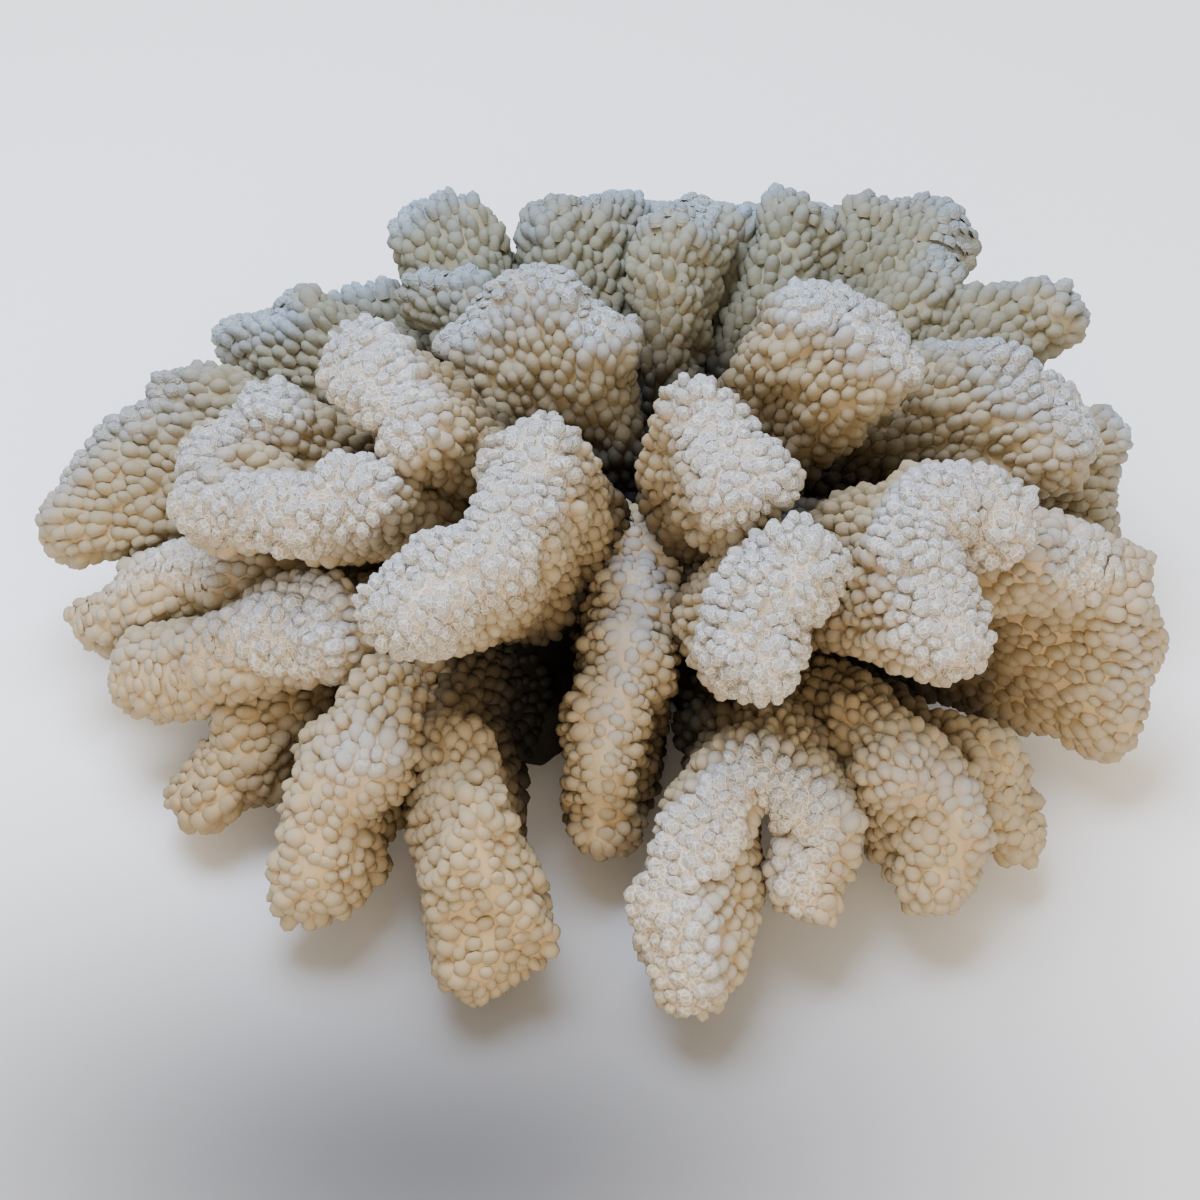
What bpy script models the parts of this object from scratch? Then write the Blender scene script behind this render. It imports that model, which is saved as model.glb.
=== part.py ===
"""A bleached cauliflower coral colony, cut off flat at its base.

Thick blades stand out on all sides of a short trunk, like the florets of a cauliflower, and every blade is
covered with wart-like lumps. Lengths are in millimetres until a mesh is made. The origin is the middle of
the flat cut: +X is to the right, +Y away from a viewer who faces the colony's front, and +Z up.
"""

from dataclasses import dataclass

import bmesh
import bpy
import numpy as np
from mathutils.bvhtree import BVHTree

MM = 0.001

# Where the blades' stems meet inside the trunk.
HUB = np.array([2.0, -8.0, 15.0])

# Driving sizes of a blade: half its thickness at the stem and at the crest, the share of the crest's width
# that it has at the stem, how late it widens and curls on its way out, and how far its edge stands past the
# points of the crest.
STEM_HALF_THICKNESS = 5.5
CREST_HALF_THICKNESS = 8.5
STEM_WIDTH_SHARE = 0.35
FLARE_POWER = 1.4
CURL_POWER = 3.0
CREST_OVERHANG = 3.5

# The hollow side of a bend keeps within this share of the bend's radius.
BEND_ROOM_SHARE = 0.55

# The lumps: how far apart they lie, how high they stand, and how much of the way along the blade they take
# to reach that height.
LUMP_SPACING = 9.6
LUMP_HEIGHT = 2.0
LUMP_RISE_SHARE = 0.4

# The crest's edge is a quarter round, and this is where on it the last ring lies, in degrees.
LAST_RING_ANGLE = 48.0

# Neighbouring pieces keep this far apart, and points this close to a cut are moved onto it.
JOINT_GAP = 0.6
SNAP_DISTANCE = 0.05

# The trunk's profile, as radius and height, from the middle of its top down to the middle of the flat cut.
TRUNK_PROFILE = ((0, 29), (5, 29), (14, 25), (23, 17), (26.5, 8), (26, 0), (0, 0))
TRUNK_SIDES = 16

CORAL_COLOUR = (0.72, 0.63, 0.48, 1.0)
TRUNK_COLOUR = (0.16, 0.12, 0.08, 1.0)
ROUGHNESS = 0.75


@dataclass(frozen=True)
class Blade:
    """One flattened blade: the point its stem bends at, the points its crest runs through, half its
    thickness at the crest, and the share of that thickness at the crest's far end."""

    name: str
    bend: tuple
    crest: tuple
    half_thickness: float = CREST_HALF_THICKNESS
    far_end_share: float = 1.0


BLADES = [
    Blade("front_finger", (0, -36, 14), ((2, -27, 44), (0, -48, 41), (-4, -67, 31), (-6, -79, 16)), 11, 0.6),
    Blade("front_left_leg", (-45, -42, 25), ((-28, -96, 36), (-24, -107, 15)), 5.3, 2.15),
    Blade("front_left_fan", (-44, -35, 22), ((-47, -80, 35), (-55, -86, 27), (-58, -94, 16)), 9),
    Blade("front_right_leg", (34, -52, 22),
          ((31, -97, 19), (33, -89, 28), (25, -84, 34), (12, -94, 33), (6, -104, 26), (10, -114, 14)),
          7.3, 1.15),
    Blade("front_right_fan", (36, -44, 20), ((50, -80, 31), (56, -86, 28), (57, -90, 17)), 9),
    Blade("front_right_low_lobe", (44, -48, 15), ((66, -71, 24), (72, -76, 15)), 7),
    Blade("front_crooked_blade", (-16, -34, 46),
          ((-18, -49, 81), (-21, -64, 78), (-28, -74, 74), (-40, -78, 69)), 8.2, 1.1),
    Blade("front_upper_knob", (12, -24, 50), ((13, -44, 84), (20, -56, 79)), 8.7),
    Blade("front_nose", (20, -42, 42), ((28, -72, 73), (23, -79, 70), (21, -84, 64)), 9.5),
    Blade("left_front_fan", (-38, -30, 26),
          ((-94, -44, 24), (-82, -49, 30), (-70, -52, 40), (-60, -54, 42)), 8.5, 1.1),
    Blade("left_front_low_lobe", (-38, -34, 18), ((-74, -56, 19), (-82, -64, 13)), 8.8),
    Blade("left_small_blade", (-48, -20, 28), ((-79, -30, 37), (-92, -27, 34), (-104, -27, 23)), 7.5),
    Blade("left_outer_fan", (-50, 0, 32), ((-91, 13, 47), (-103, 6, 41), (-113, -6, 32)), 9),
    Blade("left_cup", (-36, -18, 44),
          ((-71, -16, 66), (-81, -25, 62), (-79, -38, 60), (-65, -46, 65), (-50, -46, 70)), 7.5),
    Blade("left_upper_arm", (-24, -14, 50), ((-51, -18, 79), (-46, -29, 80), (-41, -36, 78)), 8),
    Blade("left_back_blade", (-40, 16, 32), ((-78, 38, 46), (-70, 38, 49)), 9.3),
    Blade("back_left_fan", (-24, 26, 38), ((-43, 58, 60), (-35, 58, 61)), 7.8),
    Blade("back_left_lobe", (-32, 24, 28), ((-59, 54, 40), (-54, 55, 41)), 7),
    Blade("centre_fan", (-12, -2, 44), ((-31, 9, 66), (-23, 13, 73), (-12, 12, 74), (-7, 7, 67)), 8),
    Blade("centre_back_lobe", (-18, 12, 38), ((-40, 36, 59), (-35, 34, 60)), 7.5),
    Blade("back_twin_lobe", (-8, 26, 38), ((-16, 56, 62), (-7, 62, 59), (1, 70, 54)), 8),
    Blade("back_column", (6, 14, 42), ((9, 42, 68), (13, 53, 66)), 7.8),
    Blade("back_narrow_blade", (16, 30, 34), ((24, 64, 57), (27, 69, 54)), 6.5),
    Blade("back_right_blade", (22, 22, 38), ((35, 56, 62), (39, 59, 59)), 7.2),
    Blade("back_right_fan", (32, 18, 38), ((52, 63, 58), (62, 60, 60), (67, 50, 61), (63, 40, 59)), 7.2),
    Blade("right_top_blade", (24, -6, 50), ((36, -2, 79), (42, -3, 80), (47, -10, 75)), 9),
    Blade("right_back_blade", (40, 14, 34), ((73, 36, 53), (87, 30, 58)), 8),
    Blade("right_broad_blade", (40, 0, 36), ((66, 12, 56), (76, 4, 60), (87, -7, 53)), 8.2),
    Blade("right_outer_blade", (52, 2, 24), ((97, 13, 37), (95, 4, 24)), 8),
    Blade("right_hook", (32, -30, 42),
          ((68, -51, 66), (60, -49, 71), (53, -57, 71), (53, -69, 65), (57, -75, 60)), 7.5, 1.1),
    Blade("right_square_blade", (46, -26, 28), ((79, -41, 49), (93, -39, 44), (94, -47, 17)), 8.8),
    Blade("dark_stub", (-11, -29, 15), ((-15, -46, 10), (-18, -48, 8)), 5.7),
    Blade("rear_far_left", (-42, 14, 18), ((-82, 40, 26), (-86, 32, 14))),
    Blade("rear_left", (-28, 22, 20), ((-58, 55, 28), (-53, 62, 15))),
    Blade("rear_middle_left", (-14, 34, 18), ((-32, 77, 28), (-24, 84, 15))),
    Blade("rear_middle_right", (16, 34, 18), ((8, 80, 30), (18, 85, 16))),
    Blade("rear_right", (26, 28, 20), ((42, 75, 29), (40, 80, 15))),
    Blade("rear_far_right", (36, 20, 18), ((68, 56, 27), (72, 51, 14))),
    Blade("right_low_blade", (46, 12, 18), ((82, 36, 22), (86, 28, 13)), 8),
]


def curve_through(points, shares):
    """Points at the given shares of the length of one smooth curve through the points (cubic Hermite)."""
    points = np.asarray(points, float)
    knots = np.r_[0, np.cumsum(np.linalg.norm(np.diff(points, axis=0), axis=1))]
    knots = knots / knots[-1]
    slopes = np.gradient(points, knots, axis=0)
    span = np.clip(np.searchsorted(knots, shares, side="right") - 1, 0, len(points) - 2)
    length = (knots[span + 1] - knots[span])[..., None]
    u = (shares - knots[span])[..., None] / length
    return (
        (1 + 2 * u) * (1 - u) ** 2 * points[span]
        + u * (1 - u) ** 2 * length * slopes[span]
        + u**2 * (3 - 2 * u) * points[span + 1]
        + u**2 * (u - 1) * length * slopes[span + 1]
    )


def unit(vectors):
    return vectors / np.maximum(np.linalg.norm(vectors, axis=-1, keepdims=True), 1e-9)


def middle_surface(blade, across, along):
    """The sheet in the middle of a blade's thickness. Its spine bends from the hub past the bend to the
    crest's middle. About the spine lies a straight line from one end of the crest to the other, which is
    short at the stem and lengthens, and to this line the curl of the crest is added little by little."""
    crest_middle = curve_through(blade.crest, np.linspace(0, 1, 9)).mean(axis=0)
    bend = np.asarray(blade.bend, float)
    u = along[..., None]
    spine = (1 - u) ** 2 * HUB + 2 * u * (1 - u) * bend + u**2 * crest_middle
    width = STEM_WIDTH_SHARE + (1 - STEM_WIDTH_SHARE) * np.clip(u, 0, None) ** FLARE_POWER
    line = (across[..., None] - 0.5) * (np.asarray(blade.crest[-1], float) - blade.crest[0])
    curl = curve_through(blade.crest, across) - crest_middle - line
    return spine + line * width + curl * np.clip(u, 0, None) ** CURL_POWER


def ring_positions(columns, crest_width, half_thickness):
    """Where the points of a ring stand round a blade. For each: its share of the way across the blade, and
    how far it faces sideways (1 to -1) and past the ends (1 to -1). The ring follows the blade's outline,
    two straight sides joined by half circles, and starts at the middle of one end."""
    quarter = np.pi * half_thickness / 2
    lengths = [0, quarter, crest_width, 2 * quarter, crest_width, quarter]
    corners = np.cumsum(lengths)
    place = np.arange(columns) / columns * corners[-1]
    across = np.interp(place, corners, [0, 0, 1, 1, 0, 0])
    turn = np.radians(np.interp(place, corners, [-90, 0, 0, 180, 180, 270]))
    return across, np.cos(turn), np.sin(turn)


def bend_radius(blade, across, along, outward):
    """The radius of the bend that the middle sheet makes towards the outward side. Where it is straight or
    bends away, the radius is a metre."""
    step = 0.08
    middle = np.clip(across, step, 1 - step)
    before = middle_surface(blade, middle - step, along)
    here = middle_surface(blade, middle, along)
    after = middle_surface(blade, middle + step, along)
    curvature = (before - 2 * here + after) * 4 / ((after - before) ** 2).sum(axis=-1, keepdims=True)
    towards_bend = (curvature * outward).sum(axis=-1, keepdims=True)
    return 1 / np.maximum(towards_bend, 0.001)


def blade_points(blade):
    """The points of a blade's rings, from the stem to the crest. Every second point is raised as a lump,
    like the dark squares of a chessboard."""
    samples = np.linspace(0, 1, 17)
    crest_width = np.linalg.norm(np.diff(curve_through(blade.crest, samples), axis=0), axis=1).sum()
    spine = middle_surface(blade, np.full(17, 0.5), samples)
    length = np.linalg.norm(np.diff(spine, axis=0), axis=1).sum()
    outline = 2 * crest_width + 2 * np.pi * blade.half_thickness
    columns = 2 * max(4, round(outline / LUMP_SPACING / 2))

    round_start = 1 - (blade.half_thickness - CREST_OVERHANG) / length
    straight_rings = max(4, round(length * round_start / LUMP_SPACING) + 1)
    angles = np.radians(np.r_[np.zeros(straight_rings), LAST_RING_ANGLE])
    along = np.r_[np.linspace(0, round_start, straight_rings),
                  round_start + blade.half_thickness / length * np.sin(angles[-1])]

    across, sideways, endways = ring_positions(columns, crest_width, blade.half_thickness)
    across, along_grid = np.meshgrid(across, along)
    step = 0.01
    here = middle_surface(blade, across, along_grid)
    over = (middle_surface(blade, np.clip(across + step, 0, 1), along_grid)
            - middle_surface(blade, np.clip(across - step, 0, 1), along_grid))
    up = (middle_surface(blade, across, along_grid + step)
          - middle_surface(blade, across, along_grid - step))
    normal = unit(np.cross(over, up))
    outward = normal * sideways[None, :, None] + unit(np.cross(up, normal)) * endways[None, :, None]
    thickness = STEM_HALF_THICKNESS + (blade.half_thickness - STEM_HALF_THICKNESS) * along_grid[..., None]
    thickness = thickness * (1 + (blade.far_end_share - 1) * (across * along_grid)[..., None])
    slant = 1 - (unit(over) * unit(up)).sum(axis=-1, keepdims=True) ** 2
    room = BEND_ROOM_SHARE * slant * bend_radius(blade, across, along_grid, outward)
    thickness = np.minimum(thickness, room)
    flat_share = np.cos(angles)[:, None, None]
    facing = outward * flat_share + unit(up) * np.sin(angles)[:, None, None]
    rise = np.clip(along / LUMP_RISE_SHARE, 0, 1)[:, None, None]
    ring, column = np.indices(along_grid.shape)
    raised = ((ring + column) % 2)[..., None] * rise * (1 - thickness / room)
    return here + outward * thickness * flat_share + facing * raised * LUMP_HEIGHT


def faces_between_rings(rings, columns):
    """Triangles between neighbouring rings, whose diagonals join the low points, and a strip that closes
    each end by joining the two sides of the last ring."""
    faces = []
    for ring in range(rings - 1):
        for column in range(columns):
            after = (column + 1) % columns
            a, b = ring * columns + column, ring * columns + after
            c, d = b + columns, a + columns
            if (ring + column) % 2:
                faces += [(a, b, d), (b, c, d)]
            else:
                faces += [(a, b, c), (a, c, d)]
    for first in (0, (rings - 1) * columns):
        for column in range(columns // 2):
            corners = (column, column + 1, -column - 1, -column)
            face = tuple(dict.fromkeys(first + corner % columns for corner in corners))
            faces.append(face)
    return faces


def new_object(name, collection, shape):
    """An object made from the shape, in metres, with all its faces turned outwards."""
    bmesh.ops.recalc_face_normals(shape, faces=shape.faces)
    bmesh.ops.triangulate(shape, faces=shape.faces)
    mesh = bpy.data.meshes.new(name)
    shape.to_mesh(mesh)
    shape.free()
    made = bpy.data.objects.new(name, mesh)
    collection.objects.link(made)
    return made


def make_blade(blade, collection):
    points = blade_points(blade)
    rings, columns = points.shape[:2]
    shape = bmesh.new()
    corners = [shape.verts.new(point) for point in points.reshape(-1, 3) * MM]
    for face in faces_between_rings(rings, columns):
        shape.faces.new([corners[index] for index in face])
    return new_object(blade.name, collection, shape)


def make_trunk(collection):
    """The trunk: its profile, turned about an upright axis."""
    shape = bmesh.new()
    points = [shape.verts.new((radius * MM, 0, height * MM)) for radius, height in TRUNK_PROFILE]
    for upper, lower in zip(points, points[1:]):
        shape.edges.new((upper, lower))
    made = new_object("cut_base", collection, shape)
    turning = made.modifiers.new("turning", "SCREW")
    turning.steps = TRUNK_SIDES
    turning.render_steps = TRUNK_SIDES
    turning.use_merge_vertices = True
    turning.merge_threshold = 0.0001
    turned = made.evaluated_get(bpy.context.evaluated_depsgraph_get())
    made.data = bpy.data.meshes.new_from_object(turned)
    made.modifiers.clear()
    return made


def points_of(made):
    return np.array([vert.co for vert in made.data.vertices]) / MM


def dividing_plane(first, second):
    """The plane that best keeps two sets of points apart, as its direction towards the second set and its
    distance from the origin. It starts halfway between their middles, and is then turned and shifted, a
    little at a time, to put the points that are on the wrong side back on their own."""
    middle = (first.mean(axis=0) + second.mean(axis=0)) / 2
    direction = unit(second.mean(axis=0) - first.mean(axis=0))
    first, second = first - middle, second - middle
    distance = 0.0
    for _ in range(400):
        wrong_first = np.clip(first @ direction - distance + 1, 0, None)
        wrong_second = np.clip(distance - second @ direction + 1, 0, None)
        turn = (wrong_first @ first) / len(first) - (wrong_second @ second) / len(second)
        shift = wrong_first.mean() - wrong_second.mean()
        direction = unit(direction - 0.0004 * turn)
        distance = distance + 0.3 * shift
    return direction, distance + direction @ middle


def cut_off(made, direction, distance):
    """Removes what lies past a plane, and closes the cut with flat faces."""
    shape = bmesh.new()
    shape.from_mesh(made.data)
    bmesh.ops.bisect_plane(
        shape,
        geom=shape.verts[:] + shape.edges[:] + shape.faces[:],
        dist=SNAP_DISTANCE * MM,
        plane_co=direction * distance * MM,
        plane_no=direction,
        use_snap_center=True,
        clear_outer=True,
    )
    bmesh.ops.holes_fill(shape, edges=[edge for edge in shape.edges if edge.is_boundary])
    bmesh.ops.recalc_face_normals(shape, faces=shape.faces)
    bmesh.ops.delete(shape, geom=outside_largest_body(shape), context="VERTS")
    shape.to_mesh(made.data)
    shape.free()


def outside_largest_body(shape):
    """All points that aren't part of the body with the most points."""
    unseen = set(shape.verts)
    bodies = []
    while unseen:
        body = set()
        edge = {next(iter(unseen))}
        while edge:
            body |= edge
            edge = {link.other_vert(vert) for vert in edge for link in vert.link_edges} - body
        unseen -= body
        bodies.append(body)
    largest = max(bodies, key=len)
    return [vert for vert in shape.verts if vert not in largest]


def tree_of(made, swell=0.0):
    """A tree of the object's triangles for overlap tests, with its points moved out by swell millimetres."""
    shape = bmesh.new()
    shape.from_mesh(made.data)
    shape.normal_update()
    for vert in shape.verts:
        vert.co += vert.normal * swell * MM
    tree = BVHTree.FromBMesh(shape)
    shape.free()
    return tree


def part_neighbours(blades):
    """Cuts every two blades that touch each other back from the plane between them."""
    for number, first in enumerate(blades):
        for second in blades[number + 1:]:
            if tree_of(first, JOINT_GAP).overlap(tree_of(second, JOINT_GAP)):
                direction, distance = dividing_plane(points_of(first), points_of(second))
                cut_off(first, direction, distance - JOINT_GAP / 2)
                cut_off(second, -direction, -distance - JOINT_GAP / 2)


def finish(made):
    """Removes the slivers that the cuts have left, and shades the lumps smooth."""
    shape = bmesh.new()
    shape.from_mesh(made.data)
    bmesh.ops.dissolve_degenerate(shape, dist=0.1 * MM, edges=shape.edges)
    bmesh.ops.triangulate(shape, faces=shape.faces)
    shape.to_mesh(made.data)
    shape.free()
    made.data.shade_smooth()
    made.data.set_sharp_from_angle(angle=np.radians(60))


def coral_material(name, colour):
    material = bpy.data.materials.new(name)
    material.use_nodes = True
    shader = material.node_tree.nodes["Principled BSDF"]
    shader.inputs["Base Color"].default_value = colour
    shader.inputs["Roughness"].default_value = ROUGHNESS
    shader.inputs["Metallic"].default_value = 0.0
    return material


def main():
    for old in list(bpy.data.objects):
        bpy.data.objects.remove(old)
    collection = bpy.data.collections.new("cauliflower_coral")
    bpy.context.scene.collection.children.link(collection)

    trunk = make_trunk(collection)
    trunk.data.materials.append(coral_material("stained_trunk", TRUNK_COLOUR))
    trunk_points = points_of(trunk)

    coral = coral_material("bleached_coral", CORAL_COLOUR)
    blades = []
    for blade in BLADES:
        made = make_blade(blade, collection)
        outwards = unit(np.asarray(blade.bend, float) - HUB)
        cut_off(made, -outwards, -(trunk_points @ outwards).max() - JOINT_GAP)
        made.data.materials.append(coral)
        blades.append(made)
    part_neighbours(blades)
    for made in (trunk, *blades):
        finish(made)


main()
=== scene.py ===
"""A bleached cauliflower coral colony on a pale studio floor.

Every blade is a thick sheet that grows from the hub in the trunk to a curled crest. Its skin is covered with
wart-like knobs, and the crests have the fine honeycomb of the cups in which the animals lived. Lengths are
in millimetres until a mesh is made.
"""

import logging
from dataclasses import dataclass
from enum import Enum

import bpy
import numpy as np
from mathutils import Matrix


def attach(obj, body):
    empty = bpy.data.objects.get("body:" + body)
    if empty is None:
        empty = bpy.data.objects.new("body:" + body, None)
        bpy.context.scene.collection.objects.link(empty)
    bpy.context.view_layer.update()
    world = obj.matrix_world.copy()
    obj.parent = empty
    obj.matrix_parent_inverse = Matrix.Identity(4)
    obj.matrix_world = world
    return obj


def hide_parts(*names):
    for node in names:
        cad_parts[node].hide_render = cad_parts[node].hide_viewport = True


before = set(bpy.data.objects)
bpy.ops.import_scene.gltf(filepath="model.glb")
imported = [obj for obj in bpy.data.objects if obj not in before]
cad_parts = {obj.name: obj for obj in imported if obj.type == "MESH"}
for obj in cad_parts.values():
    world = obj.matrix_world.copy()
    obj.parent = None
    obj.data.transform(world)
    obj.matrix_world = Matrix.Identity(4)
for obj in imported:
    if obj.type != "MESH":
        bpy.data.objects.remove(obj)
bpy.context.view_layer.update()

LOG = logging.getLogger("coral")
MM = 0.001
Point = tuple[float, float, float]


def linear(code: str) -> tuple[float, float, float, float]:
    """The linear colour of an sRGB hex code.

    Args:
        code: Six hex digits after a hash sign.

    Returns:
        Red, green, blue and alpha, each from 0 to 1.
    """
    parts = np.array([int(code[k:k + 2], 16) for k in (1, 3, 5)]) / 255
    red, green, blue = np.where(parts <= 0.04045, parts / 12.92, ((parts + 0.055) / 1.055) ** 2.4)
    return float(red), float(green), float(blue), 1.0


def unit(vectors: np.ndarray) -> np.ndarray:
    """Vectors scaled to length one.

    Args:
        vectors: An array whose last axis holds the three coordinates.

    Returns:
        The array of directions.
    """
    return vectors / np.maximum(np.linalg.norm(vectors, axis=-1, keepdims=True), 1e-9)


def smooth_step(values: np.ndarray, low: float, high: float) -> np.ndarray:
    """A smooth rise from 0 at low to 1 at high.

    Args:
        values: Where to read the curve.
        low: Where the rise starts.
        high: Where it ends.

    Returns:
        Numbers from 0 to 1, of the shape of values.
    """
    share = np.clip((values - low) / (high - low), 0, 1)
    return share**2 * (3 - 2 * share)


def length_of(points: np.ndarray) -> float:
    """The length of a line through the points.

    Args:
        points: One row for each point.

    Returns:
        The length.
    """
    return np.linalg.norm(np.diff(points, axis=0), axis=1).sum()


def curve_through(points: tuple[Point, ...], shares: np.ndarray) -> np.ndarray:
    """Points on one smooth curve through the given points.

    Between each two points the curve is the cubic that has both points and the slopes there, and each slope
    is that of the line between the point's neighbours.

    Args:
        points: What the curve runs through.
        shares: How far along its length to read it, from 0 to 1.

    Returns:
        One point for each share.
    """
    corners = np.asarray(points, float)
    knots = np.r_[0, np.cumsum(np.linalg.norm(np.diff(corners, axis=0), axis=1))]
    knots = knots / knots[-1]
    slopes = np.gradient(corners, knots, axis=0)
    span = np.clip(np.searchsorted(knots, shares, side="right") - 1, 0, len(corners) - 2)
    length = (knots[span + 1] - knots[span])[..., None]
    u = (shares - knots[span])[..., None] / length
    return (
        (1 + 2 * u) * (1 - u) ** 2 * corners[span]
        + u * (1 - u) ** 2 * length * slopes[span]
        + u**2 * (3 - 2 * u) * corners[span + 1]
        + u**2 * (u - 1) * length * slopes[span + 1]
    )


def waves(points: np.ndarray, length: float, seed: int) -> np.ndarray:
    """Gentle unevenness: the mean of nine sine waves in random directions.

    Args:
        points: Where to read it.
        length: The waves' mean length.
        seed: Fixes the directions and phases.

    Returns:
        Numbers of about -1 to 1, one for each point.
    """
    random = np.random.default_rng(seed)
    ways = unit(random.normal(size=(9, 3))) * (2 * np.pi / length) * random.uniform(0.7, 1.4, (9, 1))
    return np.sin(points @ ways.T + random.uniform(0, 2 * np.pi, 9)).mean(axis=-1) * 2


class Tone(Enum):
    """What a blade's colouring adds to the shares of the way along it: more makes it whiter."""

    WHITE = 0.06
    PALE = 0.03
    CREAM = 0.0
    TAN = -0.04
    OCHRE = -0.08
    STAINED = -0.55

    def slot(self) -> str:
        """The record's material slot for a blade of this colouring."""
        return "stained_coral" if self is Tone.STAINED else "bleached_coral"


@dataclass(frozen=True)
class Surface:
    """A patch of skin as a grid of rings, from the stem to the crest."""

    points: np.ndarray
    facing: np.ndarray
    growth: np.ndarray
    along: np.ndarray

    def triangles(self) -> np.ndarray:
        """The triangles between neighbouring rings, and a strip that closes the first and the last ring.

        Returns:
            Three point numbers for each triangle.
        """
        rings, columns = self.along.shape
        number = np.arange(rings * columns).reshape(rings, columns)
        after = np.roll(number, -1, axis=1)
        a, b, c, d = number[:-1], after[:-1], after[1:], number[1:]
        quads = np.stack([a, b, c, d], axis=-1).reshape(-1, 4)
        half = np.arange(columns // 2)
        strip = np.stack([half, half + 1, (-half - 1) % columns, (-half) % columns], axis=-1)
        quads = np.concatenate([quads, strip[:, ::-1], strip + (rings - 1) * columns])
        split = np.concatenate([quads[:, [0, 1, 2]], quads[:, [0, 2, 3]]])
        whole = (split[:, 0] != split[:, 1]) & (split[:, 1] != split[:, 2]) & (split[:, 0] != split[:, 2])
        return split[whole]

    def scattered(self, count: int, random: np.random.Generator) -> tuple[np.ndarray, ...]:
        """Random places on the skin, as many to a square millimetre everywhere.

        Args:
            count: How many places.
            random: Where the chances come from.

        Returns:
            The points, the directions that they face, the directions of growth, and how far along they are.
        """
        across = np.roll(self.points, -1, axis=1)[:-1] - self.points[:-1]
        up = self.points[1:] - self.points[:-1]
        area = np.linalg.norm(np.cross(across, up), axis=-1)
        picked = random.choice(area.size, count, p=(area / area.sum()).ravel())
        ring, column = np.unravel_index(picked, area.shape)
        after = (column + 1) % self.along.shape[1]
        u, v = random.random((2, count, 1))

        def blended(grid: np.ndarray) -> np.ndarray:
            """The grid's values at the places."""
            low = grid[ring, column] * (1 - u) + grid[ring, after] * u
            high = grid[ring + 1, column] * (1 - u) + grid[ring + 1, after] * u
            return low * (1 - v) + high * v

        along = blended(self.along[..., None])[:, 0]
        return blended(self.points), unit(blended(self.facing)), unit(blended(self.growth)), along


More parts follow.
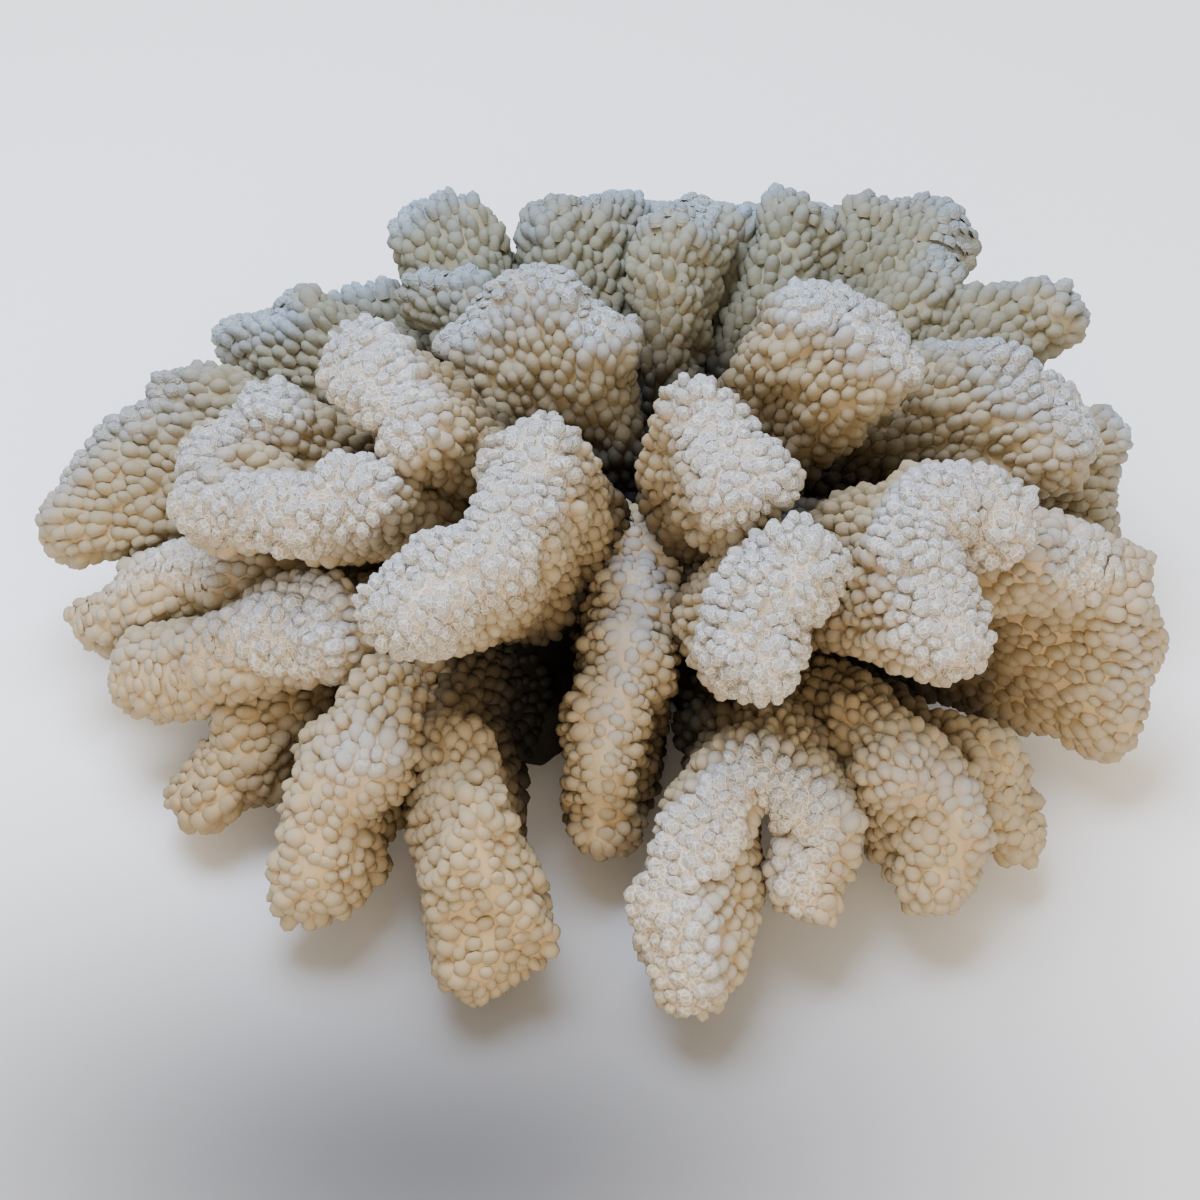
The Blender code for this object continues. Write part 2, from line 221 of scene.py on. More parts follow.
@dataclass(frozen=True)
class Knobs:
    """The wart-like knobs: upright domes that lean towards the crest, and are lower on its edge.

    Each knob is three rings and a tip. PROFILE has each ring's width and height as shares of the knob's, and
    how high it counts for the colour.
    """

    spacing: float = 2.1
    radius: float = 1.55
    stretch: float = 1.3
    height: float = 2.2
    lean: float = 0.8
    sides: int = 7
    first_along: float = 0.36
    grown_after: float = 0.25

    PROFILE = ((0.95, -0.6, 0.0), (1.0, 0.1, 0.35), (0.75, 0.68, 0.85))
    PLACES_PER_KNOB = 4.5
    RADIUS_RANGE = (0.72, 1.22)
    HEIGHT_RANGE = (0.6, 1.35)
    TILT = 0.12
    CREST_EDGE = (1.01, 1.04)

    def thinned(self, points: np.ndarray, random: np.random.Generator) -> np.ndarray:
        """Picks places so that no two are closer than the spacing and no gap is left.

        In each round, every place that outranks all its remaining neighbours is kept, and its neighbours go.

        Args:
            points: The places to choose from.
            random: Where the ranks come from.

        Returns:
            True for each place that is kept.
        """
        squares = (points**2).sum(axis=1)
        near = squares[:, None] + squares[None, :] - 2 * points @ points.T < self.spacing**2
        rank = random.permutation(len(points)).astype(np.float32) + 1
        left = np.arange(len(points))
        kept = np.zeros(len(points), bool)
        while left.size:
            picked = rank[left] == (near * rank[left]).max(axis=1)
            kept[left[picked]] = True
            stays = ~near[:, picked].any(axis=1)
            left, near = left[stays], near[np.ix_(stays, stays)]
        return kept

    def pattern(self) -> np.ndarray:
        """The triangles of one knob, whose points are those of its rings, from the lowest on, and its tip.

        Returns:
            Three point numbers for each triangle.
        """
        side = np.arange(self.sides)
        after = (side + 1) % self.sides
        triangles = []
        for ring in range(len(self.PROFILE) - 1):
            a, b = ring * self.sides + side, ring * self.sides + after
            c, d = b + self.sides, a + self.sides
            triangles += [np.stack([a, b, c], 1), np.stack([a, c, d], 1)]
        tip = len(self.PROFILE) * self.sides
        top = tip - self.sides
        triangles.append(np.stack([top + side, top + after, np.full(self.sides, tip)], 1))
        return np.concatenate(triangles)

    def mesh(self, skin: Surface, random: np.random.Generator) -> tuple[np.ndarray, np.ndarray, np.ndarray]:
        """Covers a skin with knobs.

        Args:
            skin: What the knobs grow on.
            random: Where the places, sizes and turns come from.

        Returns:
            The points, the triangles, and for each point how far along the blade it is, how high it is on
            its knob, a number of its knob's own, and how far the skin faces up.
        """
        edges = np.linalg.norm(np.roll(skin.points, -1, axis=1) - skin.points, axis=-1)[:-1]
        steps = np.linalg.norm(np.diff(skin.points, axis=0), axis=-1)
        count = int((edges * steps).sum() / self.spacing**2 * self.PLACES_PER_KNOB)
        places, facing, growth, along = skin.scattered(count, random)
        kept = self.thinned(places, random) & (along > self.first_along)
        places, facing, growth, along = places[kept], facing[kept], growth[kept], along[kept]

        count = len(places)
        own = random.random(count)
        grown = 0.35 + 0.65 * smooth_step(along, self.first_along, self.first_along + self.grown_after)
        edge = smooth_step(along, *self.CREST_EDGE)
        height = self.height * grown * random.uniform(*self.HEIGHT_RANGE, count) * (1 - 0.6 * edge)
        radius = self.radius * random.uniform(*self.RADIUS_RANGE, count)
        radius = radius * (0.75 + 0.25 * grown) * (1 - 0.1 * edge)
        upright = unit(facing + self.lean * growth + random.normal(0, self.TILT, (count, 3)))
        sideways = unit(np.cross(upright, growth + 0.01))
        forward = np.cross(sideways, upright)

        turn = np.arange(self.sides) / self.sides * 2 * np.pi
        wide, high, rise = np.array(self.PROFILE).T
        angle = turn[None, None, :] + random.uniform(0, 2 * np.pi, count)[:, None, None]
        reach = (radius[:, None] * wide)[..., None]
        offset = (
            (np.cos(angle) * reach)[..., None] * sideways[:, None, None, :]
            + (np.sin(angle) * reach * self.stretch)[..., None] * forward[:, None, None, :]
            + (height[:, None] * high)[..., None, None] * upright[:, None, None, :]
        )
        body = (places[:, None, None, :] + offset).reshape(count, -1, 3)
        tips = (places + upright * height[:, None])[:, None, :]
        points = np.concatenate([body, tips], axis=1)
        each = points.shape[1]
        triangles = (self.pattern()[None] + (np.arange(count) * each)[:, None, None]).reshape(-1, 3)

        form = np.ones((count, each, 4))
        form[..., 0] = along[:, None]
        form[:, :-1, 1] = np.repeat(rise, self.sides)
        form[..., 2] = own[:, None]
        form[..., 3] = facing[:, 2, None]
        return points.reshape(-1, 3), triangles, form.reshape(-1, 4)


@dataclass(frozen=True)
class Blade:
    """One flattened blade: the point its stem bends at, the points its crest runs through, half its
    thickness at the crest, the share of it at the crest's far end, its colouring and its knobs."""

    name: str
    bend: Point
    crest: tuple[Point, ...]
    half_thickness: float = 8.5
    far_end_share: float = 1.0
    tone: Tone = Tone.CREAM
    knobs: Knobs | None = Knobs()

    HUB = np.array([2.0, -8.0, 15.0])
    STEM_HALF_THICKNESS = 5.5
    STEM_WIDTH_SHARE = 0.35
    FLARE_POWER = 1.4
    CURL_POWER = 3.0
    CREST_OVERHANG = 3.5
    BEND_ROOM_SHARE = 0.55
    SKIN_SPACING = 2.8
    SKIN_DEPTH = 1.0
    LENGTH_SAMPLES = 17
    EDGE_RINGS = 6
    LAST_RING_ANGLE = 84.0
    UNEVENNESS = ((15.0, 5, 1.9), (7.5, 6, 0.9))
    LOW_HEIGHTS = (8.0, 60.0)
    LOW_SHADE = 0.13

    def middle(self, across: np.ndarray, along: np.ndarray) -> np.ndarray:
        """The sheet in the middle of the blade's thickness.

        Its spine is the parabola that leaves the hub towards the bend and arrives at the crest's middle.
        About the spine lies a straight line from one end of the crest to the other, whose length grows as a
        power of the way along, and the curl of the crest is added as a higher power.

        Args:
            across: The share of the way from one end of the crest to the other.
            along: The share of the way from the hub to the crest.

        Returns:
            One point for each pair of shares.
        """
        crest_middle = curve_through(self.crest, np.linspace(0, 1, 9)).mean(axis=0)
        u = along[..., None]
        spine = (1 - u) ** 2 * self.HUB + 2 * u * (1 - u) * np.array(self.bend, float) + u**2 * crest_middle
        width = self.STEM_WIDTH_SHARE + (1 - self.STEM_WIDTH_SHARE) * np.clip(u, 0, None) ** self.FLARE_POWER
        line = (across[..., None] - 0.5) * (np.array(self.crest[-1], float) - self.crest[0])
        curl = curve_through(self.crest, across) - crest_middle - line
        return spine + line * width + curl * np.clip(u, 0, None) ** self.CURL_POWER

    def bend_radius(self, across: np.ndarray, along: np.ndarray, outward: np.ndarray) -> np.ndarray:
        """The radius of the bend that the middle sheet makes towards the outward side.

        Args:
            across: As for middle.
            along: As for middle.
            outward: The side that is asked about.

        Returns:
            The radius, or a metre where the sheet is straight or bends away.
        """
        step = 0.08
        centre = np.clip(across, step, 1 - step)
        before, here, after = (self.middle(centre + shift, along) for shift in (-step, 0, step))
        curvature = (before - 2 * here + after) * 4 / ((after - before) ** 2).sum(axis=-1, keepdims=True)
        return 1 / np.maximum((curvature * outward).sum(axis=-1, keepdims=True), 0.001)

    def columns(self) -> tuple[np.ndarray, np.ndarray]:
        """The columns of the skin's grid, evenly spaced round the blade at its crest.

        Returns:
            For each column, the share of the way across, and the turn round the blade's ends, which is 0 on
            the first side and pi on the second.
        """
        crest_width = length_of(curve_through(self.crest, np.linspace(0, 1, self.LENGTH_SAMPLES)))
        quarter = np.pi * self.half_thickness / 2
        corners = np.cumsum([0, quarter, crest_width, 2 * quarter, crest_width, quarter])
        count = 2 * round(corners[-1] / self.SKIN_SPACING / 2)
        place = np.arange(count) / count * corners[-1]
        across = np.interp(place, corners, [0, 0, 1, 1, 0, 0])
        return across, np.radians(np.interp(place, corners, [-90, 0, 0, 180, 180, 270]))

    def rings(self) -> tuple[np.ndarray, np.ndarray]:
        """The rings of the skin's grid, from the hub over the crest's edge.

        Returns:
            For each ring, the share of the way along, and the angle round the crest's edge.
        """
        samples = np.linspace(0, 1, self.LENGTH_SAMPLES)
        length = length_of(self.middle(np.full(self.LENGTH_SAMPLES, 0.5), samples))
        round_start = 1 - (self.half_thickness - self.CREST_OVERHANG) / length
        straight = np.linspace(0, round_start, round(length * round_start / self.SKIN_SPACING))
        edge = np.linspace(0, self.LAST_RING_ANGLE, self.EDGE_RINGS + 1)[1:]
        angles = np.radians(np.r_[straight * 0, edge])
        rounded = round_start + self.half_thickness / length * np.sin(angles[len(straight):])
        return np.r_[straight, rounded], angles

    def skin(self) -> Surface:
        """The blade's skin without its knobs.

        The rings follow the middle sheet at half the blade's thickness, with half circles round its two
        ends, and draw together over the crest's edge in a quarter ellipse. The skin lies a little inside the
        solid, to leave room for the knobs, and is uneven by two sets of waves.

        Returns:
            The skin as a grid.
        """
        across, turn = self.columns()
        along, angles = self.rings()
        across, along = np.meshgrid(across, along)

        step = 0.01
        here = self.middle(across, along)
        ahead, behind = np.clip(across + step, 0, 1), np.clip(across - step, 0, 1)
        over = self.middle(ahead, along) - self.middle(behind, along)
        up = self.middle(across, along + step) - self.middle(across, along - step)
        normal = unit(np.cross(over, up))
        sideways, endways = np.cos(turn)[None, :, None], np.sin(turn)[None, :, None]
        outward = normal * sideways + unit(np.cross(up, normal)) * endways

        growth = self.half_thickness - self.STEM_HALF_THICKNESS
        thickness = self.STEM_HALF_THICKNESS + growth * along[..., None]
        thickness = thickness * (1 + (self.far_end_share - 1) * (across * along)[..., None])
        slant = 1 - (unit(over) * unit(up)).sum(axis=-1, keepdims=True) ** 2
        room = self.BEND_ROOM_SHARE * slant * self.bend_radius(across, along, outward)
        thickness = np.minimum(thickness, room) - self.SKIN_DEPTH
        flat = np.cos(angles)[:, None, None]
        facing = outward * flat + unit(up) * np.sin(angles)[:, None, None]
        points = here + outward * thickness * flat
        uneven = sum(waves(points, length, seed) * height for length, seed, height in self.UNEVENNESS)
        lumpy = points + facing * (uneven * smooth_step(along, 0.2, 0.5))[..., None]
        return Surface(lumpy, facing, unit(up), along)

    def build(self, finish: "CoralFinish", number: int) -> bpy.types.Object:
        """Makes the blade with its knobs, in place of its solid.

        Args:
            finish: What it is made of.
            number: The blade's own number, which fixes where its knobs are.

        Returns:
            The finished piece.
        """
        skin = self.skin()
        points = skin.points.reshape(-1, 3)
        triangles = skin.triangles()
        form = np.ones((len(points), 4))
        form[:, 0] = skin.along.ravel()
        form[:, 1:3] = (0.0, 0.5)
        form[:, 3] = skin.facing[..., 2].ravel()
        if self.knobs:
            more, covers, knob_form = self.knobs.mesh(skin, np.random.default_rng(number))
            triangles = np.concatenate([triangles, covers + len(points)])
            points = np.concatenate([points, more])
            form = np.concatenate([form, knob_form])
        low = 1 - smooth_step(points[:, 2], *self.LOW_HEIGHTS)
        form[:, 0] += self.tone.value - self.LOW_SHADE * low
        return new_piece(self.name, points, triangles, form, finish, self.tone.slot())


@dataclass(frozen=True)
class Trunk:
    """The trunk, turned about an upright axis and cut off flat underneath.

    The profile holds the radius and the height of each ring, from the cut upwards.
    """

    profile: tuple[tuple[float, float], ...] = ((26, 0), (26.5, 8), (23, 17), (14, 25), (5, 29))
    sides: int = 96
    rings: int = 40

    def build(self, finish: "CoralFinish") -> bpy.types.Object:
        """Makes the trunk in place of its solid.

        Each ring is a circle whose radius lies between those of the profile, less a gentle unevenness, and
        both ends are closed by rings that narrow to the axis.

        Args:
            finish: What it is made of.

        Returns:
            The finished piece.
        """
        radii, heights = np.array(self.profile).T
        read = np.linspace(0, len(radii) - 1, self.rings)
        radius = np.interp(read, np.arange(len(radii)), radii)
        height = np.interp(read, np.arange(len(radii)), heights)
        radius = np.r_[0.05, 9, 18, radius, 0.05]
        height = np.r_[0, 0, 0, height, heights[-1]]
        turn = np.arange(self.sides) / self.sides * 2 * np.pi
        points = np.stack([
            radius[:, None] * np.cos(turn),
            radius[:, None] * np.sin(turn),
            height[:, None] + 0 * turn,
        ], axis=-1)
        facing = unit(points - np.array([0, 0, 10.0]))
        facing[..., 2] *= smooth_step(points[..., 2], 0, 3)
        uneven = (waves(points, 11.0, 8) * 0.8 - 0.9) * (height > 0)[:, None]
        points = points + facing * uneven[..., None]
        skin = Surface(points, facing, facing, height[:, None] + 0 * turn)
        form = np.zeros((points.size // 3, 4))
        form[:, 2:] = (0.5, 0.0)
        return new_piece("cut_base", points.reshape(-1, 3), skin.triangles(), form, finish, "stained_coral")


def new_piece(
    name: str,
    points: np.ndarray,
    triangles: np.ndarray,
    form: np.ndarray,
    finish: "CoralFinish",
    slot: str,
) -> bpy.types.Object:
    """Makes a mesh object that stands for the solid of the same name.

    Args:
        name: The solid's node.
        points: The mesh's points.
        triangles: Three point numbers for each face.
        form: Four numbers for each point, as CoralFinish reads them.
        finish: What the piece is made of.
        slot: The record's material slot; not used.

    Returns:
        The new object.
    """
    mesh = bpy.data.meshes.new(name + "_skin")
    mesh.from_pydata(points * MM, [], triangles.tolist())
    mesh.shade_smooth()
    store = mesh.attributes.new("form", "FLOAT_COLOR", "POINT")
    store.data.foreach_set("color", form.astype(np.float32).ravel())
    mesh.materials.append(finish.material())
    piece = bpy.data.objects.new(name + "_skin", mesh)
    bpy.context.scene.collection.objects.link(piece)
    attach(piece, "root")
    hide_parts(name)
    LOG.info("%s: %d triangles", piece.name, len(triangles))
    return piece


def add_node(
    tree: bpy.types.NodeTree,
    kind: str,
    inputs: dict | None = None,
    **settings: object,
) -> bpy.types.Node:
    """Adds a shader node.

    Args:
        tree: Where it goes.
        kind: The node's type, without the leading ShaderNode.
        inputs: A value, or another node's output, for each named or numbered input.
        settings: The node's own settings.

    Returns:
        The new node.
    """
    node = tree.nodes.new("ShaderNode" + kind)
    for name, value in settings.items():
        setattr(node, name, value)
    for name, value in (inputs or {}).items():
        if isinstance(value, bpy.types.NodeSocket):
            tree.links.new(value, node.inputs[name])
        else:
            node.inputs[name].default_value = value
    return node


def ramp(
    tree: bpy.types.NodeTree,
    value: bpy.types.NodeSocket,
    low: float,
    high: float,
    start: float = 0.0,
    end: float = 1.0,
) -> bpy.types.NodeSocket:
    """A smooth rise of a value.

    Args:
        tree: Where the node goes.
        value: What is read.
        low: The value at which the rise starts.
        high: The value at which it ends.
        start: The result up to low.
        end: The result from high on.

    Returns:
        The result's output.
    """
    inputs = {"Value": value, "From Min": low, "From Max": high, "To Min": start, "To Max": end}
    return add_node(tree, "MapRange", inputs, interpolation_type="SMOOTHSTEP").outputs["Result"]


def mixed(
    tree: bpy.types.NodeTree,
    share: bpy.types.NodeSocket,
    first: bpy.types.NodeSocket,
    second: str,
    blend: str = "MIX",
) -> bpy.types.NodeSocket:
    """A mix of two colours.

    Args:
        tree: Where the node goes.
        share: How much of the second colour is in it.
        first: Another node's output.
        second: A hex code.
        blend: How the second goes over the first.

    Returns:
        The mixed colour's output.
    """
    inputs = {0: share, 6: first, 7: linear(second)}
    return add_node(tree, "Mix", inputs, data_type="RGBA", blend_type=blend).outputs[2]


def combined(
    tree: bpy.types.NodeTree,
    first: bpy.types.NodeSocket,
    second: bpy.types.NodeSocket | float,
    operation: str = "MULTIPLY",
) -> bpy.types.NodeSocket:
    """The product of two values, or another operation on them.

    Args:
        tree: Where the node goes.
        first: The first value.
        second: The second value.
        operation: What is done with them.

    Returns:
        The result's output.
    """
    return add_node(tree, "Math", {0: first, 1: second}, operation=operation).outputs[0]


@dataclass(frozen=True)
class CoralFinish:
    """Bleached coral skeleton: chalky white crests, cream and tan flanks, and dark stems.

    It reads a piece's four numbers for each point: the share of the way from the hub to the crest, how high
    the point is on its knob, the knob's own number, and how far the skin faces up. The colours are those of
    the knobs at shares of the way. Over them go a painted cool top light where a crest faces up, a painted
    warm glow in the creases between the knobs, that of the rims of the cups, painted shade on the colony's
    far side, and specks.
    """

    name: str = "bleached_coral_skeleton"
    colours: tuple[tuple[float, str], ...] = (
        (0.30, "#14100B"),
        (0.42, "#242017"),
        (0.52, "#382F20"),
        (0.62, "#5F5139"),
        (0.78, "#8B7C60"),
        (0.90, "#998C71"),
        (0.98, "#998C75"),
        (1.05, "#9C917D"),
    )
    # Painted cool top light: the blue-grey that crests are mixed towards where they face up.
    painted_top_light: str = "#989C9F"
    # Painted glow: a bright warm tan that lightens the creases, in place of light shining through the
    # skeleton.
    painted_crease_glow: str = "#C4A676"
    rim: str = "#CFCFCB"
    # Painted shade: the colour that the colony's far side is multiplied by, making it darker and cooler.
    painted_far_side_shade: str = "#CEE2F3"
    speck: str = "#2A2620"
    roughness: float = 0.78
    cup_size: float = 1.15
    patch_size: float = 32.0
    speck_spacing: float = 5.5

    SHARES_TO_RAMP = 0.9

    def material(self) -> bpy.types.Material:
        """The finish as a material, which is made once.

        Returns:
            The material.
        """
        made = bpy.data.materials.get(self.name)
        if made:
            return made
        made = bpy.data.materials.new(self.name)
        made.use_nodes = True
        tree = made.node_tree
        shader = tree.nodes["Principled BSDF"]
        colour, cups, along = self.colour(tree)
        tree.links.new(colour, shader.inputs["Base Color"])
        shader.inputs["Roughness"].default_value = self.roughness
        shader.inputs["Specular IOR Level"].default_value = 0.3
        strength = ramp(tree, along, 0.98, 1.03, 0.12, 0.7)
        relief = add_node(tree, "Bump", {"Strength": strength, "Distance": 0.4 * MM, "Height": cups})
        tree.links.new(relief.outputs["Normal"], shader.inputs["Normal"])
        return made

    def colour(self, tree: bpy.types.NodeTree) -> tuple[bpy.types.NodeSocket, ...]:
        """The skin's colour.

        Args:
            tree: Where the nodes go.

        Returns:
            The outputs for the colour, for the height of the cups' rims, and for the way along the blade.
        """
        form = add_node(tree, "Attribute", attribute_name="form")
        along, rise, own = add_node(tree, "SeparateColor", {"Color": form.outputs["Color"]}).outputs
        upward = form.outputs["Alpha"]
        place = add_node(tree, "TexCoord").outputs["Object"]
        noise = {"Vector": place, "Scale": 1 / (self.patch_size * MM), "Detail": 2.0}
        patches = add_node(tree, "TexNoise", noise)
        cells = add_node(tree, "TexVoronoi", {"Vector": place, "Scale": 1 / (self.cup_size * MM)},
                         feature="DISTANCE_TO_EDGE")
        rims = ramp(tree, cells.outputs["Distance"], 0.02, 0.22, 1.0, 0.0)

        wander = ramp(tree, patches.outputs[0], 0.3, 0.7, -0.05, 0.05)
        reach = combined(tree, along, wander, "ADD")
        from_front = add_node(tree, "SeparateXYZ", {"Vector": place}).outputs["Y"]
        scale = add_node(tree, "ValToRGB", {"Fac": combined(tree, reach, self.SHARES_TO_RAMP)})
        stops = scale.color_ramp.elements
        stops.remove(stops[0])
        for share, code in self.colours[:-1]:
            stops.new(share * self.SHARES_TO_RAMP).color = linear(code)
        last_share, last_code = self.colours[-1]
        stops[-1].position = last_share * self.SHARES_TO_RAMP
        stops[-1].color = linear(last_code)
        # Painted top light: where a crest faces up its skin is mixed towards a cool blue-grey, as if lit
        # from above.
        white = combined(tree, ramp(tree, upward, -0.2, 0.7), ramp(tree, reach, 0.9, 1.04))
        skin = mixed(tree, white, scale.outputs["Color"], self.painted_top_light)
        # Painted glow: low on the knobs and between them, the skin is mixed towards a bright warm tan.
        height = combined(tree, rise, ramp(tree, own, 0.0, 1.0, 0.7, 1.1))
        crease_glow_share = combined(tree, ramp(tree, height, 0.0, 0.8, 0.4, 0.0), ramp(tree, reach, 0.5, 0.8))
        skin = mixed(tree, crease_glow_share, skin, self.painted_crease_glow)
        rims_at_crest = combined(tree, rims, ramp(tree, reach, 0.97, 1.03, 0.0, 0.55))
        skin = mixed(tree, rims_at_crest, skin, self.rim)
        # Painted shade: from the middle to the far side of the colony, the skin is multiplied darker and
        # cooler.
        back = ramp(tree, from_front, -40 * MM, 50 * MM)
        skin = mixed(tree, back, skin, self.painted_far_side_shade, "MULTIPLY")
        spots = add_node(tree, "TexVoronoi", {"Vector": place, "Scale": 1 / (self.speck_spacing * MM)})
        dots = ramp(tree, spots.outputs["Distance"], 0.035, 0.06, 1.0, 0.0)
        chance = add_node(tree, "SeparateColor", {"Color": spots.outputs["Color"]}).outputs[0]
        few = ramp(tree, chance, 0.86, 0.88)
        skin = mixed(tree, combined(tree, dots, few), skin, self.speck)
        return skin, rims, along


@dataclass(frozen=True)
class Studio:
    """The camera where the photographer stood, a pale floor and soft light."""

    target: Point = (-5.5, -12.0, 16.0)
    distance: float = 600.0
    elevation: float = 40.0
    focal_length: float = 90.0
    shift_x: float = -0.0017
    floor_colour: str = "#FBFAF8"
    painted_floor_shadow: str = "#5E5E5E"

    def build(self) -> None:
        """Makes the camera, the floor and the lights."""
        self.camera()
        self.floor()
        self.light("top_softbox", (-120, 60, 640), 420, 8.8, "#D3E2FF")
        self.light("front_fill", (60, -620, 260), 400, 3.7, "#FFE6C4")
        world = bpy.data.worlds.new("studio")
        world.use_nodes = True
        world.node_tree.nodes["Background"].inputs["Color"].default_value = linear("#FFF8EE")
        world.node_tree.nodes["Background"].inputs["Strength"].default_value = 0.94
        bpy.context.scene.world = world

    def camera(self) -> None:
        """Places the camera at the photo's angle."""
        lift = np.radians(self.elevation)
        away = np.array([0, -np.cos(lift), np.sin(lift)]) * self.distance
        lens = bpy.data.cameras.new("camera")
        lens.lens = self.focal_length
        lens.shift_x = self.shift_x
        lens.clip_start = 0.01
        camera = bpy.data.objects.new("camera", lens)
        camera.location = (np.array(self.target) + away) * MM
        camera.rotation_euler = (np.pi / 2 - lift, 0, 0)
        bpy.context.scene.collection.objects.link(camera)
        bpy.context.scene.camera = camera

    def floor(self) -> None:
        """Makes the floor, with a painted shadow: it is darker in an oval in front of the coral."""
        bpy.ops.mesh.primitive_plane_add(size=6)
        floor = bpy.context.object
        floor.name = "floor"
        paint = bpy.data.materials.new("pale_studio_floor")
        paint.use_nodes = True
        tree = paint.node_tree
        place = add_node(tree, "TexCoord").outputs["Object"]
        # Painted shadow: the floor is mixed towards dark grey in an oval in front of the coral.
        oval = {"Vector": place, "Location": (0.15, 1.14, 0), "Scale": (4.5, 8, 0)}
        shadow_spot = add_node(tree, "Mapping", oval)
        far = add_node(tree, "VectorMath", {0: shadow_spot.outputs[0]}, operation="LENGTH").outputs["Value"]
        share = add_node(tree, "MapRange", {"Value": far, "From Min": 0.0, "From Max": 1.0},
                         interpolation_type="SMOOTHSTEP")
        colour = add_node(tree, "Mix", {0: share.outputs["Result"], 6: linear(self.painted_floor_shadow),
                                        7: linear(self.floor_colour)}, data_type="RGBA")
        shader = tree.nodes["Principled BSDF"]
        tree.links.new(colour.outputs[2], shader.inputs["Base Color"])
        shader.inputs["Roughness"].default_value = 0.9
        floor.data.materials.append(paint)

    def light(self, name: str, place: Point, size: float, power: float, colour: str) -> None:
        """Adds a square soft light that points at the target.

        Args:
            name: The light's name.
            place: Where it hangs.
            size: The length of its side.
            power: Its power in watts.
            colour: Its colour as a hex code.
        """
        lamp = bpy.data.lights.new(name, "AREA")
        lamp.size = size * MM
        lamp.energy = power
        lamp.color = linear(colour)[:3]
        made = bpy.data.objects.new(name, lamp)
        made.location = np.array(place) * MM
        back = unit(np.array(place) - np.array(self.target))
        made.rotation_euler = (np.arccos(back[2]), 0, np.arctan2(back[0], -back[1]))
        bpy.context.scene.collection.objects.link(made)


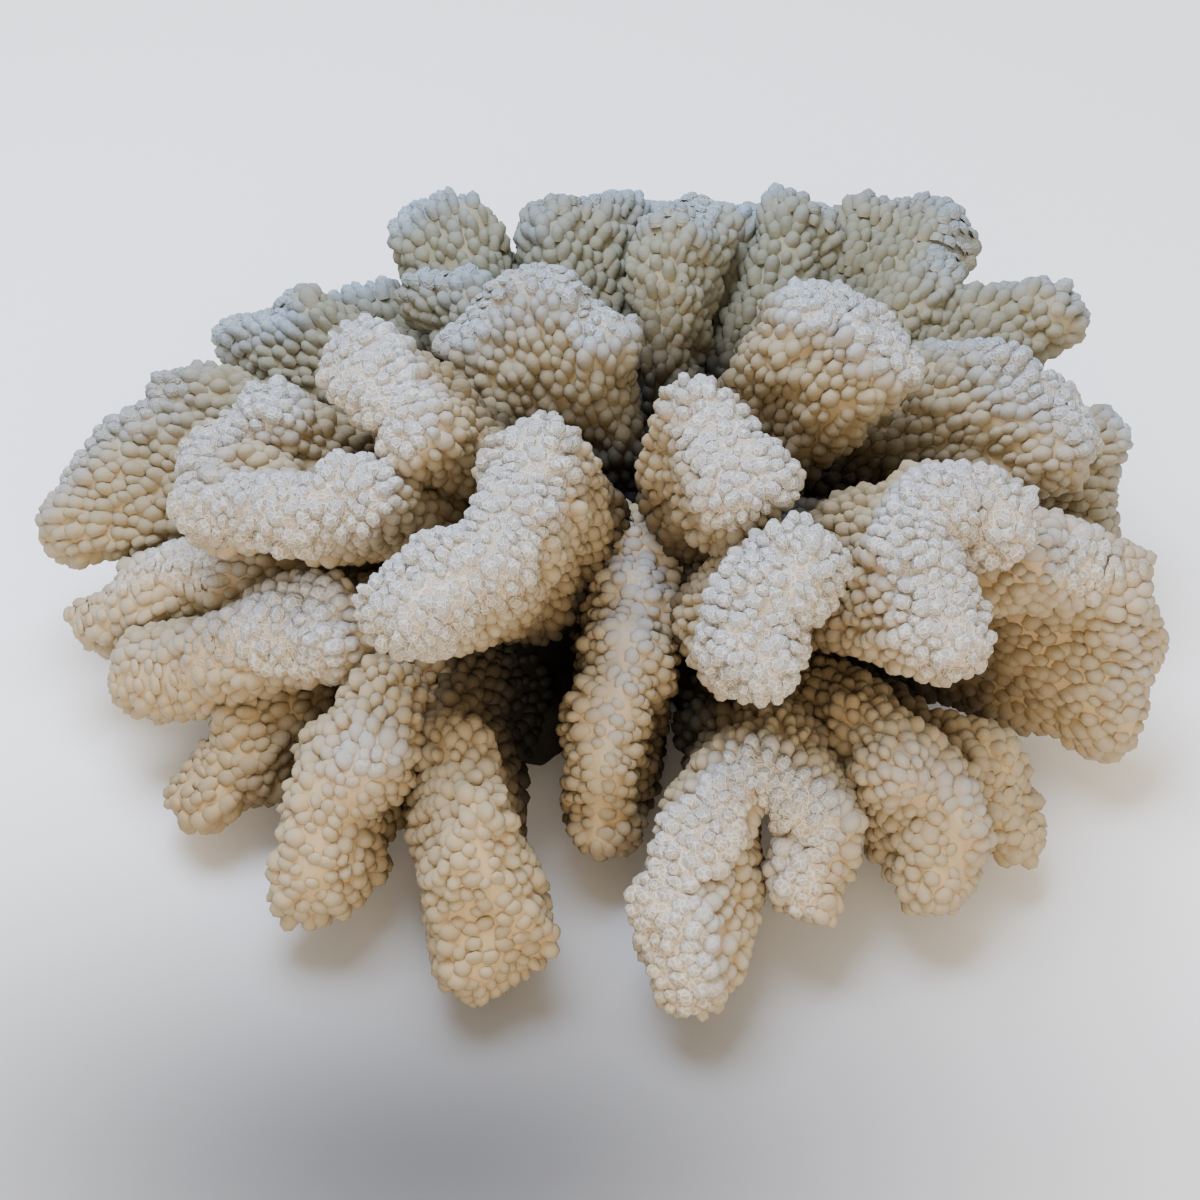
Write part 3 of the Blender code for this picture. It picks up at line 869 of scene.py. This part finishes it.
BLADES = [
    Blade("front_finger", (0, -36, 14),
          ((2, -27, 44), (0, -48, 41), (-4, -67, 31), (-6, -79, 16)), 11, 0.6, Tone.OCHRE),
    Blade("front_left_leg", (-45, -42, 25), ((-28, -96, 36), (-24, -107, 15)), 5.3, 2.15, Tone.TAN),
    Blade("front_left_fan", (-44, -35, 22), ((-47, -80, 35), (-55, -86, 27), (-58, -94, 16)), 9),
    Blade("front_right_leg", (34, -52, 22),
          ((31, -97, 19), (33, -89, 28), (25, -84, 34), (12, -94, 33), (6, -104, 26), (10, -114, 14)),
          7.3, 1.15, Tone.WHITE),
    Blade("front_right_fan", (36, -44, 20), ((50, -80, 31), (56, -86, 28), (57, -90, 17)), 9, 1, Tone.PALE),
    Blade("front_right_low_lobe", (44, -48, 15), ((66, -71, 24), (72, -76, 15)), 7, 1, Tone.TAN),
    Blade("front_crooked_blade", (-16, -34, 46),
          ((-18, -49, 81), (-21, -64, 78), (-28, -74, 74), (-40, -78, 69)), 8.2, 1.1, Tone.WHITE),
    Blade("front_upper_knob", (12, -24, 50), ((13, -44, 84), (20, -56, 79)), 8.7, 1, Tone.PALE),
    Blade("front_nose", (20, -42, 42), ((28, -72, 73), (23, -79, 70), (21, -84, 64)), 9.5, 1, Tone.WHITE),
    Blade("left_front_fan", (-38, -30, 26),
          ((-94, -44, 24), (-82, -49, 30), (-70, -52, 40), (-60, -54, 42)), 8.5, 1.1, Tone.PALE),
    Blade("left_front_low_lobe", (-38, -34, 18), ((-74, -56, 19), (-82, -64, 13)), 8.8, 1, Tone.OCHRE),
    Blade("left_small_blade", (-48, -20, 28),
          ((-79, -30, 37), (-92, -27, 34), (-104, -27, 23)), 7.5, 1, Tone.PALE),
    Blade("left_outer_fan", (-50, 0, 32), ((-91, 13, 47), (-103, 6, 41), (-113, -6, 32)), 9, 1, Tone.PALE),
    Blade("left_cup", (-36, -18, 44),
          ((-71, -16, 66), (-81, -25, 62), (-79, -38, 60), (-65, -46, 65), (-50, -46, 70)),
          7.5, 1, Tone.PALE),
    Blade("left_upper_arm", (-24, -14, 50), ((-51, -18, 79), (-46, -29, 80), (-41, -36, 78)), 8),
    Blade("left_back_blade", (-40, 16, 32), ((-78, 38, 46), (-70, 38, 49)), 9.3),
    Blade("back_left_fan", (-24, 26, 38), ((-43, 58, 60), (-35, 58, 61)), 7.8),
    Blade("back_left_lobe", (-32, 24, 28), ((-59, 54, 40), (-54, 55, 41)), 7),
    Blade("centre_fan", (-12, -2, 44), ((-31, 9, 66), (-23, 13, 73), (-12, 12, 74), (-7, 7, 67)), 8),
    Blade("centre_back_lobe", (-18, 12, 38), ((-40, 36, 59), (-35, 34, 60)), 7.5),
    Blade("back_twin_lobe", (-8, 26, 38), ((-16, 56, 62), (-7, 62, 59), (1, 70, 54)), 8),
    Blade("back_column", (6, 14, 42), ((9, 42, 68), (13, 53, 66)), 7.8),
    Blade("back_narrow_blade", (16, 30, 34), ((24, 64, 57), (27, 69, 54)), 6.5),
    Blade("back_right_blade", (22, 22, 38), ((35, 56, 62), (39, 59, 59)), 7.2),
    Blade("back_right_fan", (32, 18, 38), ((52, 63, 58), (62, 60, 60), (67, 50, 61), (63, 40, 59)), 7.2),
    Blade("right_top_blade", (24, -6, 50), ((36, -2, 79), (42, -3, 80), (47, -10, 75)), 9),
    Blade("right_back_blade", (40, 14, 34), ((73, 36, 53), (87, 30, 58)), 8),
    Blade("right_broad_blade", (40, 0, 36), ((66, 12, 56), (76, 4, 60), (87, -7, 53)), 8.2, 1, Tone.PALE),
    Blade("right_outer_blade", (52, 2, 24), ((97, 13, 37), (95, 4, 24)), 8),
    Blade("right_hook", (32, -30, 42),
          ((68, -51, 66), (60, -49, 71), (53, -57, 71), (53, -69, 65), (57, -75, 60)), 7.5, 1.1, Tone.PALE),
    Blade("right_square_blade", (46, -26, 28),
          ((79, -41, 49), (93, -39, 44), (94, -47, 17)), 8.8),
    Blade("dark_stub", (-11, -29, 15), ((-15, -46, 10), (-18, -48, 8)), 5.7, 1, Tone.STAINED, None),
    Blade("rear_far_left", (-42, 14, 18), ((-82, 40, 26), (-86, 32, 14))),
    Blade("rear_left", (-28, 22, 20), ((-58, 55, 28), (-53, 62, 15))),
    Blade("rear_middle_left", (-14, 34, 18), ((-32, 77, 28), (-24, 84, 15))),
    Blade("rear_middle_right", (16, 34, 18), ((8, 80, 30), (18, 85, 16))),
    Blade("rear_right", (26, 28, 20), ((42, 75, 29), (40, 80, 15))),
    Blade("rear_far_right", (36, 20, 18), ((68, 56, 27), (72, 51, 14))),
    Blade("right_low_blade", (46, 12, 18), ((82, 36, 22), (86, 28, 13)), 8),
]


def main() -> None:
    """Builds the colony and the studio."""
    logging.basicConfig(level=logging.INFO, format="%(message)s")
    finish = CoralFinish()
    Trunk().build(finish)
    for number, blade in enumerate(BLADES):
        blade.build(finish, number)
    Studio().build()


if __name__ == "__main__":
    main()
